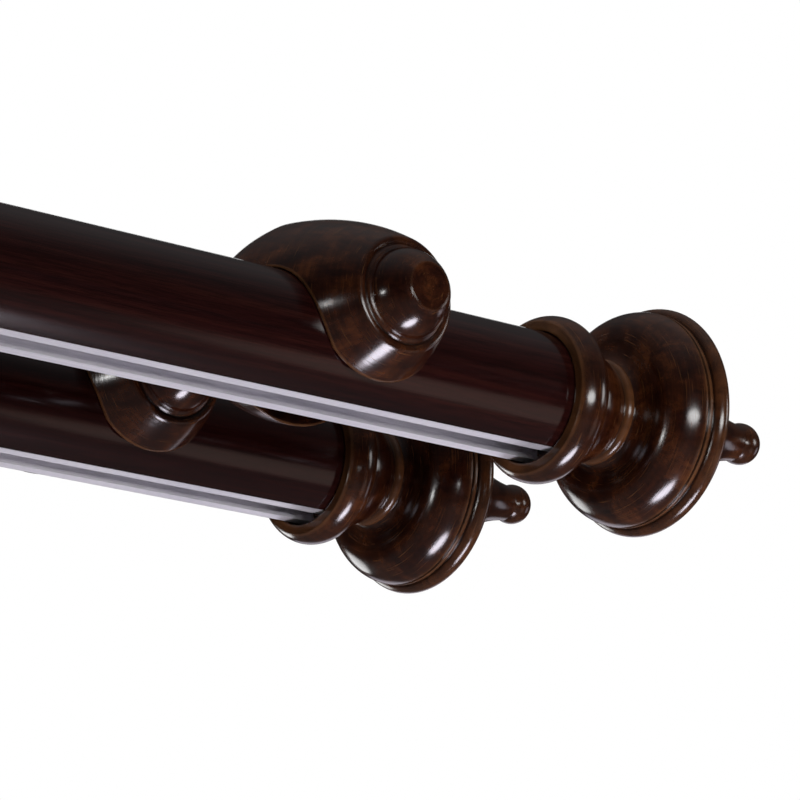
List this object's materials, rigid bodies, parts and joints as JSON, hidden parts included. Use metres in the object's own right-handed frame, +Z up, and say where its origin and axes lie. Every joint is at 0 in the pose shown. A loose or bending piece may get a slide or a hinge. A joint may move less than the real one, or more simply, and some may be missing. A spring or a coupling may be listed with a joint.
{
  "type": "double curtain pole",
  "caption": "Wall-mounted double curtain pole: dark stained wooden poles with curtain rails let into their undersides, turned wooden brackets and bell-shaped finials.",
  "frame": {"origin": "on the wall plane, halfway between the two wall roses, at the height of the bracket axis", "axes": "+X along the poles to the right end as seen from the room, +Y towards the wall, +Z up"},
  "size_m": [1.3898, 0.2878, 0.0857],
  "materials": {
    "pole_wood": "dark red-brown stain under gloss lacquer",
    "turned_wood": "brown stain under gloss lacquer",
    "rail_aluminium": "satin anodised",
    "screw_steel": "zinc plated"
  },
  "bodies": {
    "root": {"front_pole": "pole_wood", "front_rail": "rail_aluminium", "front_left_finial": "turned_wood", "front_left_boss": "turned_wood", "front_right_finial": "turned_wood", "front_right_boss": "turned_wood", "back_pole": "pole_wood", "back_rail": "rail_aluminium", "back_left_finial": "turned_wood", "back_left_boss": "turned_wood", "back_right_finial": "turned_wood", "back_right_boss": "turned_wood", "left_wall_rose": "turned_wood", "right_wall_rose": "turned_wood", "pole_screws": "screw_steel", "rail_screws": "screw_steel", "finial_studs": "screw_steel", "bracket_studs": "screw_steel"}
  },
  "joints": []
}
